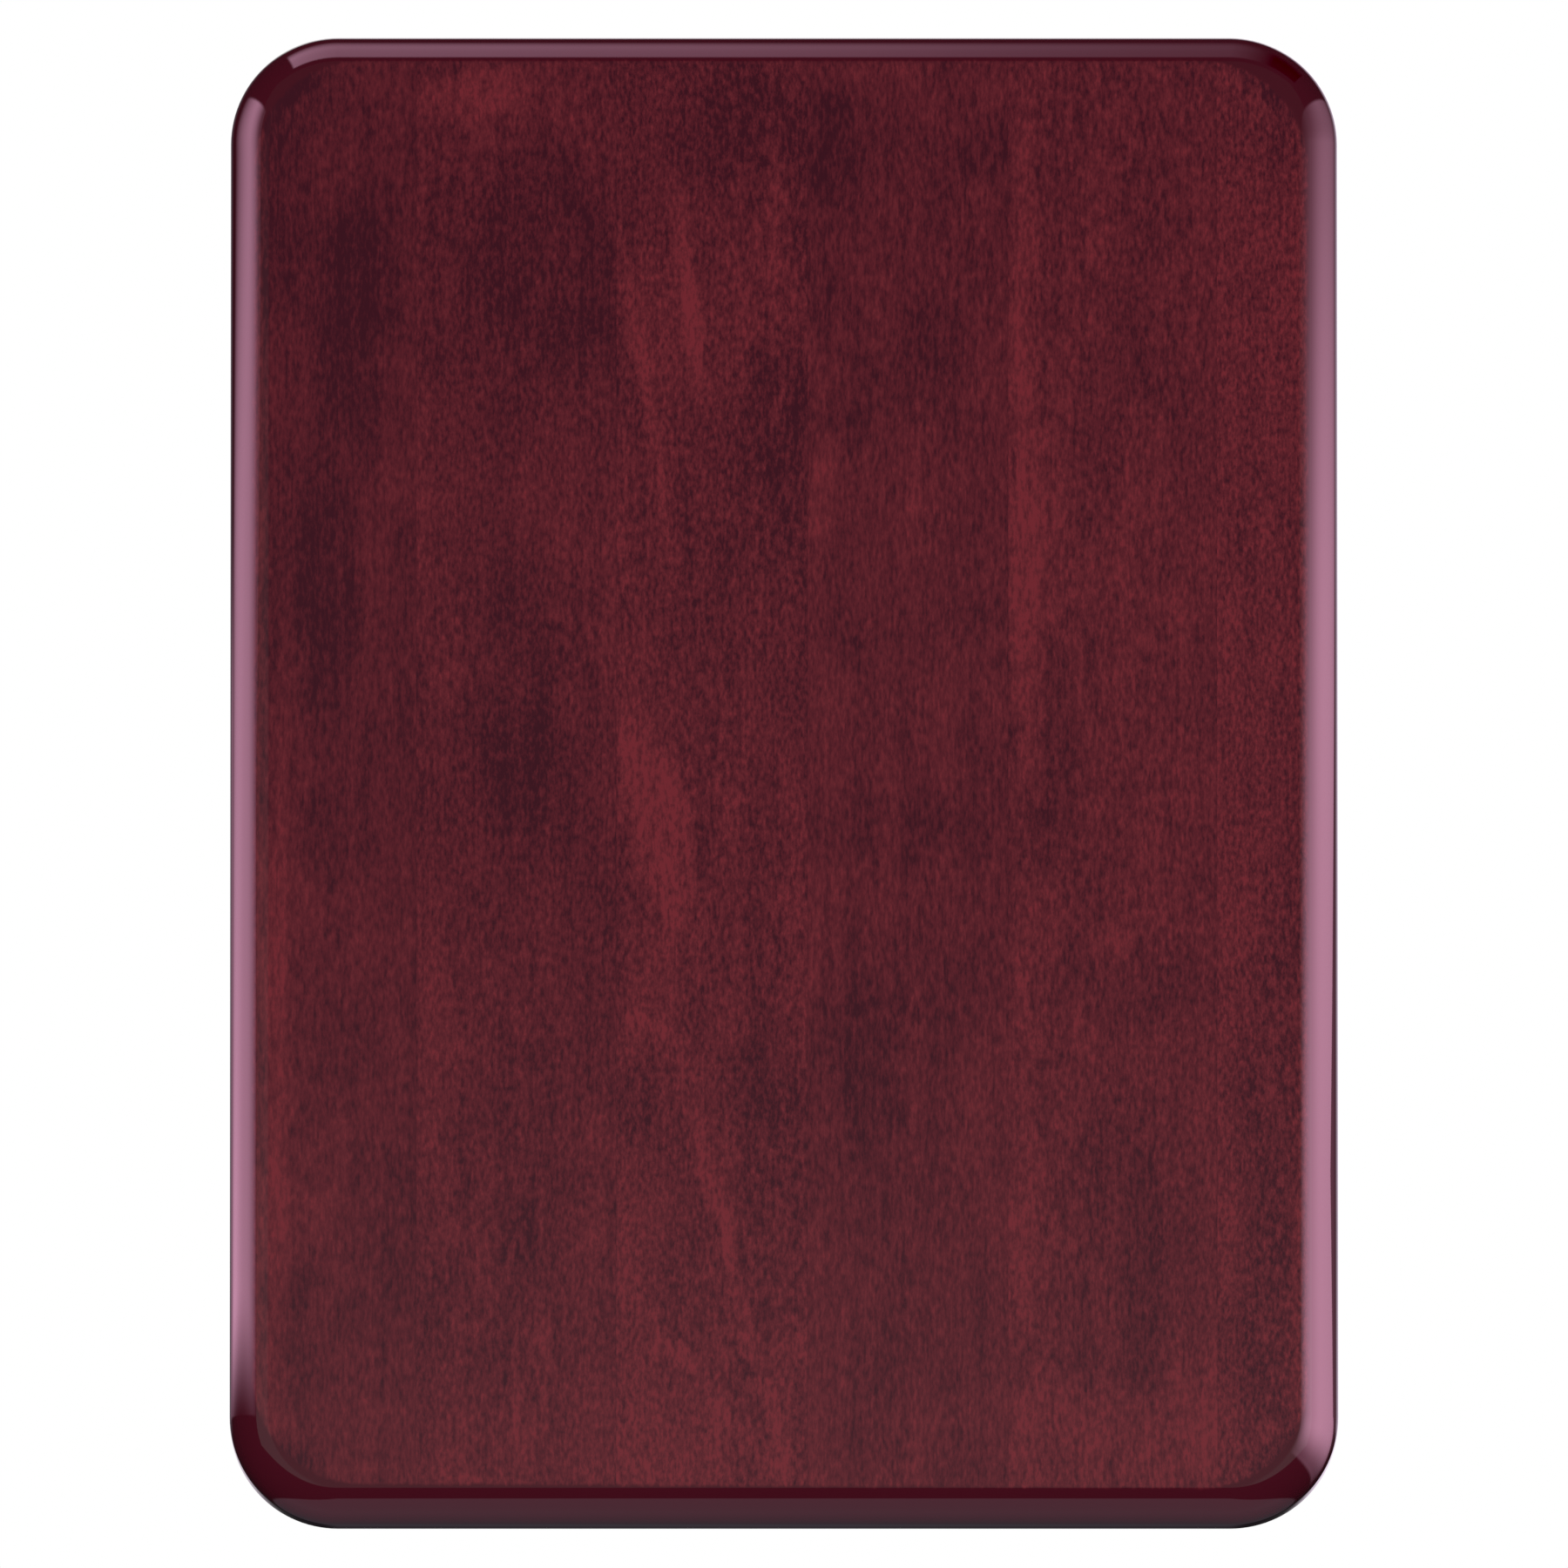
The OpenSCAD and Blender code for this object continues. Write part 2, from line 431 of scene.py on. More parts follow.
@dataclass(frozen=True)
class LacqueredWood(Finish):
    """Red-brown stained hardwood under a thick, clear, high-gloss lacquer.

    The figure is a sum of layers. Each has the size of its cells in millimetres and its
    share of the stain's tone.
    """

    edge: GlazeEdge
    look: StaveLook
    left_mm: float
    right_mm: float
    seed: float
    name: str = "lacquered_wood"

    STAIN = (
        (0.00, (0.043, 0.0038, 0.0108)),
        (0.25, (0.067, 0.0065, 0.0136)),
        (0.50, (0.0935, 0.0094, 0.0170)),
        (0.75, (0.121, 0.0135, 0.0210)),
        (1.00, (0.162, 0.0162, 0.0248)),
    )
    GLAZED_EDGE = (0.056, 0.0042, 0.0108)
    MIDDLE_TONE = 0.485
    FIRST_CELL_MM = (37.0, 11.0, 53.0)
    VESSEL_MM, VESSEL_SHARE = (0.7, 0.7, 11.0), 0.14
    STREAK_MM, STREAK_SHARE = (3.0, 3.0, 60.0), 0.5
    MOTTLE_MM, MOTTLE_SHARE = (6.0, 6.0, 13.0), 0.45
    DRIFT_MM, DRIFT_SHARE = (26.0, 26.0, 48.0), 0.6
    FIBRE_MM, FIBRE_SHARE = (1.6, 1.6, 34.0), 1.8
    CLOUD_EDGE = (1.3, 0.55)
    GLUE_LINE_MM, GLUE_LINE_SHARE = (0.22, 0.05), 0.1
    # Painted shade: the stain's tone is made darker towards the top. Painted light: it is made lighter
    # in a band near the bottom.
    TOP_SHADE_MM, TOP_SHADE_SHARE = (20.0, 95.0), 0.07
    BOTTOM_BAND_MM, BOTTOM_BAND_SHARE = (-118.0, -134.0), 0.1
    CORNER_SHADE_MM, CORNER_SHADE_SHARE = (4.0, 2.0), 0.4
    RIM_MM = (0.5, -0.4)
    RAGGED_MM, RAGGED_BY_MM = (0.9, 0.9, 3.0), 1.2

    def _grain(self, tree: Tree, point: Wire) -> Wire:
        """The wood's own figure: flecks, vessel lines, growth streaks, mottle and drifts.

        Args:
            tree: The tree to draw in.
            point: The point on the object, in metres.

        Returns:
            The figure's share of the stain's tone, around 0.
        """
        x_mm, z_mm = self.look.fleck_mm
        home = tuple(self.seed * step for step in self.FIRST_CELL_MM)
        swayed = tree.shift(point, (30, 30, 90), (1.2, 1.2, 0.0))
        flecks = tree.noise(tree.cells(swayed, (x_mm, x_mm, z_mm), home), 3.0, 0.65)
        vessels = tree.noise(tree.cells(swayed, self.VESSEL_MM, home), 1.0).ramp(0.06, 0.2)
        streaks = tree.noise(tree.cells(swayed, self.STREAK_MM, home), 2.0)
        mottle = tree.noise(tree.cells(swayed, self.MOTTLE_MM, home), 2.0)
        drift = tree.noise(tree.cells(point, self.DRIFT_MM, home), 2.0)
        return (
            flecks * self.look.fleck_depth
            + streaks * self.STREAK_SHARE
            + mottle * self.MOTTLE_SHARE
            + drift * self.DRIFT_SHARE
            - vessels * self.VESSEL_SHARE
        )

    def _clouds(self, tree: Tree, point: Wire) -> Wire | float:
        """All the lighter and darker patches together, broken up along the grain.

        Args:
            tree: The tree to draw in.
            point: The point on the object, in metres.

        Returns:
            The patches' share of the stain's tone, around 0.
        """
        wandering = tree.shift(point, (5, 5, 14), (3.0, 3.0, 8.0))
        total: Wire | float = 0.0
        for cloud in self.look.clouds:
            size = (cloud.half_width_mm, 1000.0, cloud.half_height_mm)
            centre = (cloud.x_mm, 0.0, cloud.z_mm)
            reach = tree.length(tree.cells(wandering, size, centre, cloud.turn))
            total = total + reach.ramp(*self.CLOUD_EDGE) * cloud.change
        fibres = tree.noise(tree.cells(point, self.FIBRE_MM), 2.0)
        return total * (1.05 + fibres * self.FIBRE_SHARE)

    def paint(self, tree: Tree) -> dict[str, object]:
        """Stain, glaze the edges darker, paint shade into the top and light into a band near the
        bottom, and lay the lacquer on top.

        Args:
            tree: The tree to draw in.

        Returns:
            What goes on the shader's sockets, by name.
        """
        point = tree.point()
        x, _, z = tree.split(point)
        x_mm, z_mm = x * (1 / MM), z * (1 / MM)
        wood = self._grain(tree, point) + self._clouds(tree, point)
        inside = self.edge.inside(x_mm, z_mm)
        corner = self.edge.near_corner(x_mm, z_mm) * inside.ramp(*self.CORNER_SHADE_MM)
        joint = (x_mm - self.left_mm).at_most(self.right_mm - x_mm)
        tone = (
            wood
            + (self.MIDDLE_TONE + self.look.tone)
            # painted shade, darker towards the top
            - z_mm.ramp(*self.TOP_SHADE_MM) * self.TOP_SHADE_SHARE
            - joint.ramp(*self.GLUE_LINE_MM) * self.GLUE_LINE_SHARE
            # painted light, lighter in a band near the bottom
            + z_mm.ramp(*self.BOTTOM_BAND_MM) * self.BOTTOM_BAND_SHARE
            - corner * self.CORNER_SHADE_SHARE
        )
        stained = tree.colour_ramp(tone, self.STAIN)
        ragged = tree.noise(tree.cells(point, self.RAGGED_MM), 2.0) * self.RAGGED_BY_MM
        rim = (inside + ragged).ramp(*self.RIM_MM)
        height = tree.noise(tree.cells(point, (0.5, 0.5, 4.0)), 1.0)
        return {
            "Base Color": tree.mix(rim, stained, (*self.GLAZED_EDGE, 1.0)),
            "Roughness": 0.38 + wood * 0.1,
            "Normal": tree.bump(height, 0.01),
            "Specular IOR Level": 0.0,
            "Coat Weight": 1.0,
            "Coat Roughness": 0.035,
            "Coat IOR": 1.5,
        }


@dataclass(frozen=True)
class RawWood(Finish):
    """Bare routed hardwood, inside the recesses."""

    name: str = "raw_wood"

    GRAIN_MM = (0.7, 0.7, 6.0)
    DRIFT_MM = (5.0, 5.0, 40.0)

    def paint(self, tree: Tree) -> dict[str, object]:
        """Pale brown wood with fine grain.

        Args:
            tree: The tree to draw in.

        Returns:
            What goes on the shader's sockets, by name.
        """
        point = tree.point()
        grain = tree.noise(tree.cells(point, self.GRAIN_MM), 3.0)
        drift = tree.noise(tree.cells(point, self.DRIFT_MM), 2.0)
        tone = 0.5 + grain * 0.9 + drift * 0.6
        stops = (
            (0.0, (0.1878, 0.0844, 0.0423)),
            (0.5, (0.3419, 0.1683, 0.0844)),
            (1.0, (0.5149, 0.2961, 0.1620)),
        )
        return {
            "Base Color": tree.colour_ramp(tone, stops),
            "Roughness": 0.78 + grain * 0.15,
            "Normal": tree.bump(grain, 0.06),
        }


@dataclass(frozen=True)
class BlackFelt(Finish):
    """Thin black felt, glued down flat."""

    name: str = "flocked_backing"

    FUZZ_MM = (0.4, 0.4, 0.4)
    FIBRE_MM = (0.35, 0.35, 3.5)
    MATTING_MM = (2.4, 2.4, 3.6)
    NAP_MM = (24.0, 24.0, 42.0)
    LINT_MM = (5.0, 5.0, 5.0)

    def paint(self, tree: Tree) -> dict[str, object]:
        """Matted fibres with paler lint here and there.

        Args:
            tree: The tree to draw in.

        Returns:
            What goes on the shader's sockets, by name.
        """
        point = tree.point()
        tangled = tree.shift(point, (3, 3, 3), (1.6, 1.6, 1.6))
        fuzz = tree.noise(tree.cells(point, self.FUZZ_MM), 3.0, 0.7)
        fibres = tree.noise(tree.cells(tangled, self.FIBRE_MM, turn=24.0), 2.0)
        matting = tree.noise(tree.cells(tangled, self.MATTING_MM), 3.0, 0.6)
        nap = tree.noise(tree.cells(point, self.NAP_MM), 2.0)
        patches = tree.noise(tree.cells(point, self.LINT_MM)).ramp(0.12, 0.24)
        lint = fibres.ramp(0.2, 0.28) * patches
        tone = 0.46 + fuzz * 1.2 + fibres * 0.7 + matting * 0.7 + nap * 0.9 + lint * 0.5
        stops = (
            (0.0, (0.0033, 0.0033, 0.0037)),
            (0.5, (0.0110, 0.0110, 0.0123)),
            (0.85, (0.0252, 0.0252, 0.0273)),
            (1.0, (0.0648, 0.0630, 0.0666)),
        )
        return {
            "Base Color": tree.colour_ramp(tone, stops),
            "Roughness": 0.92 + fuzz * 0.1,
            "Normal": tree.bump(fuzz + matting * 0.6, 0.12),
            "Specular IOR Level": 0.2,
            "Sheen Weight": 0.35,
            "Sheen Roughness": 0.5,
        }


@dataclass(frozen=True)
class ZincPlate(Finish):
    """Zinc-plated sheet steel, with the rolling marks of the sheet and a few scuffs."""

    name: str = "zinc_plate"
    tint: tuple[float, float, float] = (0.66, 0.66, 0.65)
    grain_mm: tuple[float, float, float] = (9.0, 0.3, 0.12)

    CLOUD_MM = (3.5, 3.5, 3.5)
    SPANGLE_MM = (1.3, 1.3, 1.3)
    SCUFF_MM = (2.5, 1.0, 0.25)

    def paint(self, tree: Tree) -> dict[str, object]:
        """Grey metal with rolling lines, cloudy plating and scuffs.

        Args:
            tree: The tree to draw in.

        Returns:
            What goes on the shader's sockets, by name.
        """
        point = tree.point()
        lines = tree.noise(tree.cells(point, self.grain_mm), 2.0)
        clouds = tree.noise(tree.cells(point, self.CLOUD_MM), 3.0, 0.6)
        spangle = tree.noise(tree.cells(point, self.SPANGLE_MM), 1.0)
        scuffs = tree.noise(tree.cells(point, self.SCUFF_MM, turn=31.0), 2.0).ramp(0.14, 0.2)
        dark = tuple(0.62 * part for part in self.tint)
        stops = ((0.0, dark), (0.55, self.tint), (1.0, tuple(1.15 * part for part in self.tint)))
        return {
            "Base Color": tree.colour_ramp(0.5 + clouds * 1.1 + spangle * 0.6 + lines * 0.6, stops),
            "Metallic": 1.0,
            "Roughness": 0.3 + clouds * 0.3 + spangle * 0.2 + lines * 0.2 + scuffs * 0.15,
            "Normal": tree.bump(lines + spangle * 0.6 + scuffs * 0.5, 0.012),
        }


@dataclass(frozen=True)
class PaleFloor(Finish):
    """The studio's plain pale floor."""

    name: str = "pale_floor"

    def paint(self, tree: Tree) -> dict[str, object]:
        """Off-white paper with a barely visible tooth.

        Args:
            tree: The tree to draw in.

        Returns:
            What goes on the shader's sockets, by name.
        """
        tooth = tree.noise(tree.cells(tree.point(), (60, 60, 60)), 3.0)
        stops = ((0.0, (0.80, 0.80, 0.80)), (1.0, (0.84, 0.84, 0.84)))
        return {"Base Color": tree.colour_ramp(0.5 + tooth, stops), "Roughness": 0.9}


# ---------------------------------------------------------------- bench work


class Bench:
    """Mesh work, done the way a person does it: select, then press a tool."""

    FLAT = 1e-6

    @staticmethod
    def clear() -> None:
        """Deselect every object."""
        bpy.ops.object.select_all(action="DESELECT")

    @classmethod
    def take(cls, piece: bpy.types.Object) -> None:
        """Select one object alone and make it active.

        Args:
            piece: The object to take.
        """
        cls.clear()
        piece.select_set(True)
        bpy.context.view_layer.objects.active = piece

    @classmethod
    def settle(cls, name: str) -> bpy.types.Object:
        """Name the new object and move its place, turn and size into its mesh.

        Args:
            name: The object's new name.

        Returns:
            The object.
        """
        piece = bpy.context.active_object
        piece.name = piece.data.name = name
        bpy.ops.object.transform_apply(location=True, rotation=True, scale=True)
        return piece

    @classmethod
    def block(cls, name: str, low: Vector, high: Vector) -> bpy.types.Object:
        """Add a block between two corners.

        Args:
            name: The object's name.
            low: The corner with the lowest coordinates, in metres.
            high: The corner with the highest coordinates, in metres.

        Returns:
            The block.
        """
        cls.clear()
        bpy.ops.mesh.primitive_cube_add(size=1.0, location=(low + high) / 2, scale=high - low)
        return cls.settle(name)

    @classmethod
    def rod(
        cls,
        name: str,
        radius: float,
        start: Vector,
        end: Vector,
        sides: int = 48,
        far_radius: float | None = None,
    ) -> bpy.types.Object:
        """Add a rod or a cone along Y.

        Args:
            name: The object's name.
            radius: The radius at the start, in metres.
            start: The middle of the end that faces the wall.
            end: The middle of the other end.
            sides: How many flats stand for the round.
            far_radius: The radius at the other end, where it differs.

        Returns:
            The rod.
        """
        cls.clear()
        bpy.ops.mesh.primitive_cone_add(
            vertices=sides,
            radius1=radius,
            radius2=radius if far_radius is None else far_radius,
            depth=(end - start).length,
            location=(start + end) / 2,
            rotation=(math.radians(90), 0.0, 0.0),
        )
        return cls.settle(name)

    @classmethod
    def pick(cls, piece: bpy.types.Object, kind: str, test: Callable[[object], bool]) -> None:
        """Go into edit mode with only the parts that pass a test selected.

        Args:
            piece: The object to edit.
            kind: VERT, EDGE or FACE.
            test: Takes a vertex, edge or face and says whether it is wanted.
        """
        cls.take(piece)
        bpy.ops.object.mode_set(mode="EDIT")
        bpy.ops.mesh.select_mode(type=kind)
        bpy.ops.mesh.select_all(action="DESELECT")
        mesh = bmesh.from_edit_mesh(piece.data)
        parts = {"VERT": mesh.verts, "EDGE": mesh.edges, "FACE": mesh.faces}[kind]
        for part in parts:
            part.select = test(part)
        mesh.select_flush_mode()
        bmesh.update_edit_mesh(piece.data)

    @staticmethod
    def done() -> None:
        """Leave edit mode."""
        bpy.ops.object.mode_set(mode="OBJECT")

    @classmethod
    def round_edges(
        cls,
        piece: bpy.types.Object,
        test: Callable[[bmesh.types.BMEdge], bool],
        radius: float,
        steps: int,
    ) -> None:
        """Round the edges that pass a test.

        Args:
            piece: The object to edit.
            test: Says whether an edge is to be rounded.
            radius: The round's radius, in metres.
            steps: How many flats stand for the round.
        """
        cls.pick(piece, "EDGE", test)
        bpy.ops.mesh.bevel(offset=radius, segments=steps, affect="EDGES", clamp_overlap=False)
        cls.done()

    @classmethod
    def along_y(cls, edge: bmesh.types.BMEdge) -> bool:
        """Whether an edge runs along Y."""
        a, b = (vertex.co for vertex in edge.verts)
        return abs(a.x - b.x) < cls.FLAT and abs(a.z - b.z) < cls.FLAT

    @classmethod
    def at_y(cls, y: float) -> Callable[[bmesh.types.BMEdge], bool]:
        """A test for edges that lie in the plane y."""
        return lambda edge: all(abs(vertex.co.y - y) < cls.FLAT for vertex in edge.verts)

    @classmethod
    def lies_at(cls, face: bmesh.types.BMFace, y: float) -> bool:
        """Whether a face lies flat in the plane y and looks away from the wall."""
        return face.normal.y < -0.9 and abs(face.calc_center_median().y - y) < cls.FLAT

    @classmethod
    def slice(cls, piece: bpy.types.Object, x: float, keep_right: bool) -> None:
        """Saw along the plane x, drop one side and close the cut.

        Args:
            piece: The object to saw.
            x: Where the saw goes through, in metres.
            keep_right: Whether the right-hand side is the one that stays.
        """
        cls.pick(piece, "FACE", lambda face: True)
        bpy.ops.mesh.bisect(
            plane_co=(x, 0.0, 0.0),
            plane_no=(1.0, 0.0, 0.0),
            use_fill=True,
            clear_inner=keep_right,
            clear_outer=not keep_right,
            threshold=1e-7,
        )
        cls.done()

    @classmethod
    def copy(cls, piece: bpy.types.Object, name: str) -> bpy.types.Object:
        """Copy a piece with its own mesh.

        Args:
            piece: The object to copy.
            name: The copy's name.

        Returns:
            The copy.
        """
        twin = piece.copy()
        twin.data = piece.data.copy()
        twin.name = twin.data.name = name
        bpy.context.collection.objects.link(twin)
        return twin

    @classmethod
    def modify(cls, piece: bpy.types.Object, kind: str, **settings: object) -> None:
        """Add a modifier, set it and apply it.

        Args:
            piece: The object to change.
            kind: The modifier's type.
            settings: The modifier's own settings, by name.
        """
        cls.take(piece)
        modifier = piece.modifiers.new(kind.lower(), kind)
        for name, value in settings.items():
            setattr(modifier, name, value)
        bpy.ops.object.modifier_apply(modifier=modifier.name)

    @classmethod
    def cut(cls, piece: bpy.types.Object, cutters: Sequence[bpy.types.Object]) -> None:
        """Take the cutters' shapes out of a piece, with their finish. The cutters stay.

        Args:
            piece: The object to cut.
            cutters: The shapes to take out of it.
        """
        for cutter in cutters:
            cls.modify(
                piece,
                "BOOLEAN",
                object=cutter,
                operation="DIFFERENCE",
                solver="EXACT",
                material_mode="TRANSFER",
            )

    @classmethod
    def soften(cls, piece: bpy.types.Object, width: float, steps: int) -> None:
        """Take the sharpness off every real edge.

        Args:
            piece: The object to change.
            width: How wide the softened edge is, in metres.
            steps: How many flats stand for the round.
        """
        angle = math.radians(40)
        cls.modify(
            piece, "BEVEL", width=width, segments=steps, limit_method="ANGLE", angle_limit=angle
        )

    @classmethod
    def scrap(cls, pieces: Sequence[bpy.types.Object]) -> None:
        """Throw away what was only needed on the bench."""
        for piece in pieces:
            bpy.data.objects.remove(piece, do_unlink=True)

    @classmethod
    def smooth(cls, piece: bpy.types.Object, angle: float = 30.0) -> None:
        """Turn normals outwards, smooth the rounds and keep flats flat.

        Args:
            piece: The finished object.
            angle: The sharpest bend that counts as round, in degrees.
        """
        cls.pick(piece, "FACE", lambda face: True)
        bpy.ops.mesh.remove_doubles(threshold=1e-7)
        bpy.ops.mesh.normals_make_consistent(inside=False)
        cls.done()
        bpy.ops.object.shade_smooth_by_angle(angle=math.radians(angle))
        cls.modify(piece, "WEIGHTED_NORMAL", keep_sharp=True, weight=50)

    @classmethod
    def place(cls, piece: bpy.types.Object, where: Matrix) -> None:
        """Move a finished piece, in its mesh."""
        piece.data.transform(where)
        piece.data.update()

    @classmethod
    def stadium(
        cls,
        name: str,
        straight: float,
        radius: float,
        back_y: float,
        front_y: float,
        upright: bool = False,
    ) -> bpy.types.Object:
        """Add a slab with two half-round ends.

        Args:
            name: The object's name.
            straight: The distance between the centres of its ends, in metres.
            radius: The radius of its ends.
            back_y: Where it faces the wall.
            front_y: Where it ends in the wood.
            upright: Whether it runs along Z and not along X.

        Returns:
            The slab.
        """
        long, short = straight / 2 + radius, radius
        half = Vector((short, 0.0, long)) if upright else Vector((long, 0.0, short))
        low = Vector((-half.x, front_y, -half.z))
        high = Vector((half.x, back_y, half.z))
        slab = cls.block(name, low, high)
        cls.round_edges(slab, cls.along_y, radius * 0.9999, 28)
        return slab


def dress(piece: bpy.types.Object, finish: Finish) -> None:
    """Give a piece its material."""
    piece.data.materials.clear()
    piece.data.materials.append(finish.material())


def hand_over(piece: bpy.types.Object, node: str) -> None:
    """Tell the frame what a finished piece stands for, and report it.

    Args:
        piece: The finished piece.
        node: The CAD node that it stands for.
    """
    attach(piece, "root")
    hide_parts(node)
    log.info("%s: %d faces", piece.name, len(piece.data.polygons))


# ---------------------------------------------------------------- the hangers


class Hang(Enum):
    """Which way up a keyhole plate hangs the board."""

    PORTRAIT = "portrait"
    LANDSCAPE = "landscape"

    @property
    def plate_node(self) -> str:
        """The CAD node of the plate."""
        return f"{self.value}_keyhole_plate"

    @property
    def screws_node(self) -> str:
        """The CAD node of the plate's screws."""
        return f"{self.value}_plate_screws"

    @property
    def place(self) -> Matrix:
        """From a plate drawn upright around the origin to where it sits on the board.

        Returns:
            The matrix that moves the plate there.
        """
        low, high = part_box(self.plate_node)
        middle = (Vector(low) + Vector(high)) / 2
        turn = Matrix.Rotation(math.radians(90 if self is Hang.LANDSCAPE else 0), 4, "Y")
        return Matrix.Translation((middle.x, 0.0, middle.z)) @ turn


@dataclass
class Hanger:
    """A keyhole plate with its screws, the recess it sits in and the pocket behind it."""

    hang: Hang
    plate_l: float = 52 * MM
    plate_w: float = 21.4 * MM
    plate_t: float = 1.2 * MM
    plate_gap: float = 0.3 * MM
    entry_r: float = 4.6 * MM
    slot_r: float = 2.3 * MM
    travel: float = 7 * MM
    pocket_r: float = 6 * MM
    pocket_depth: float = 9 * MM
    screw_spacing: float = 34 * MM
    head_r: float = 2.8 * MM
    head_rim: float = 0.25 * MM
    core_r: float = 1.0 * MM
    thread_r: float = 1.45 * MM
    thread_pitch: float = 1.1 * MM
    screw_l: float = 12 * MM
    tip_l: float = 2.4 * MM
    back_y: float = field(init=False)

    EASE = 0.12 * MM
    OVERCUT = 1 * MM
    TIP_SCALE = 0.06
    CROSS_HALF_WIDTH = 0.42 * MM
    CROSS_DEPTH = 1.25 * MM
    THREAD_STEPS = 24

    def __post_init__(self) -> None:
        """Read where the plate's outer face is."""
        self.back_y = float(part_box(self.hang.plate_node)[1][1])

    def _screw_places(self) -> list[Vector]:
        """Where the two screws are, before the plate is placed."""
        return [Vector((side * self.screw_spacing / 2, 0.0, 0.0)) for side in (-1, 1)]

    def _opening(self, name: str, back_y: float, front_y: float) -> bpy.types.Object:
        """A cutter with the plate's outline and the gap around it."""
        radius = self.plate_w / 2 + self.plate_gap
        return Bench.stadium(name, self.plate_l - self.plate_w, radius, back_y, front_y)

    @property
    def opening_area(self) -> float:
        """The area of the felt's opening for the plate, in square metres."""
        radius = self.plate_w / 2 + self.plate_gap
        return (self.plate_l - self.plate_w) * 2 * radius + math.pi * radius**2

    def sheet_cutter(self) -> bpy.types.Object:
        """The shape that is cut out of the felt for the plate.

        Returns:
            The cutter, in its place on the board.
        """
        tool = self._opening("felt_opening", self.OVERCUT, self.back_y - self.OVERCUT)
        Bench.place(tool, self.hang.place)
        return tool

    def cutters(self) -> list[bpy.types.Object]:
        """The shapes that are routed and drilled out of the board.

        Returns:
            The cutters, in their place on the board.
        """
        floor_y = self.back_y - self.plate_t
        inside_y = floor_y + self.OVERCUT / 2
        pocket_y = self.back_y - self.pocket_depth
        tools = [
            self._opening("recess", self.back_y + self.OVERCUT, floor_y),
            Bench.stadium("pocket", self.travel, self.pocket_r, inside_y, pocket_y, upright=True),
        ]
        for spot in self._screw_places():
            mouth = spot + Vector((0.0, inside_y, 0.0))
            bottom = spot + Vector((0.0, self.back_y - self.screw_l - self.OVERCUT, 0.0))
            tools.append(Bench.rod("pilot", self.thread_r, mouth, bottom, sides=24))
        for tool in tools:
            Bench.place(tool, self.hang.place)
            dress(tool, RawWood())
        return tools

    def plate(self) -> bpy.types.Object:
        """Press the plate out of sheet: keyhole, countersinks and eased edges.

        Returns:
            The plate.
        """
        inner_y = self.back_y - self.plate_t
        name = self.hang.value + "_hanger_plate"
        straight, radius = self.plate_l - self.plate_w, self.plate_w / 2
        plate = Bench.stadium(name, straight, radius, self.back_y, inner_y)
        out = Vector((0, self.back_y + self.OVERCUT, 0))
        deep = Vector((0, inner_y - self.OVERCUT, 0))
        down = Vector((0, 0, -self.travel / 2))
        tools = [
            Bench.rod("keyhole", self.entry_r, out + down, deep + down, sides=72),
            Bench.stadium("keyslot", self.travel, self.slot_r, out.y, deep.y, upright=True),
        ]
        reach = self.OVERCUT + self.head_rim
        for spot in self._screw_places():
            rim = spot + Vector((0, self.back_y - self.head_rim, 0))
            outer = rim + Vector((0, reach, 0))
            inner = rim - Vector((0, self.head_r - self.core_r, 0))
            radius = self.head_r + reach
            tools.append(Bench.rod("countersink", radius, outer, inner, far_radius=self.core_r))
        Bench.cut(plate, tools)
        Bench.scrap(tools)
        Bench.soften(plate, self.EASE, 3)
        Bench.smooth(plate)
        Bench.place(plate, self.hang.place)
        dress(plate, ZincPlate())
        hand_over(plate, self.hang.plate_node)
        return plate

    def screws(self) -> bpy.types.Object:
        """Turn one screw, copy it and put the pair in their countersinks.

        Returns:
            Both screws, as one object.
        """
        first = self._screw()
        second = Bench.copy(first, "second_screw")
        for screw, spot in zip((first, second), self._screw_places()):
            Bench.place(screw, Matrix.Translation(spot))
        Bench.take(first)
        second.select_set(True)
        bpy.ops.object.join()
        first.name = first.data.name = self.hang.value + "_screws"
        Bench.place(first, self.hang.place)
        dress(first, ZincPlate(name="zinc_screw", tint=(0.72, 0.69, 0.60), grain_mm=(1.2, 1.2, 1.2)))
        hand_over(first, self.hang.screws_node)
        return first

    def _screw(self) -> bpy.types.Object:
        """A countersunk wood screw with a cross recess, standing in from the plate's face.

        Returns:
            The screw, around the origin.
        """
        top = Vector((0, self.back_y, 0))
        neck_y = self.head_rim + self.head_r - self.core_r
        screw = Bench.rod("screw", self.head_r, top, top - Vector((0, self.head_rim, 0)))
        lengths = (self.head_r - self.core_r, self.screw_l - self.tip_l - neck_y, self.tip_l)
        scales = (self.core_r / self.head_r, 1.0, self.TIP_SCALE)
        for length, scale in zip(lengths, scales):
            lowest = min(vertex.co.y for vertex in screw.data.vertices)
            Bench.pick(screw, "FACE", lambda face: Bench.lies_at(face, lowest))
            bpy.ops.mesh.extrude_region_move(TRANSFORM_OT_translate={"value": (0.0, -length, 0.0)})
            bpy.ops.transform.resize(value=(scale, 1.0, scale))
            Bench.done()
        self._cross(screw)
        thread = self._thread(neck_y)
        Bench.modify(screw, "BOOLEAN", object=thread, operation="UNION", solver="EXACT")
        Bench.scrap([thread])
        Bench.smooth(screw, 35.0)
        return screw

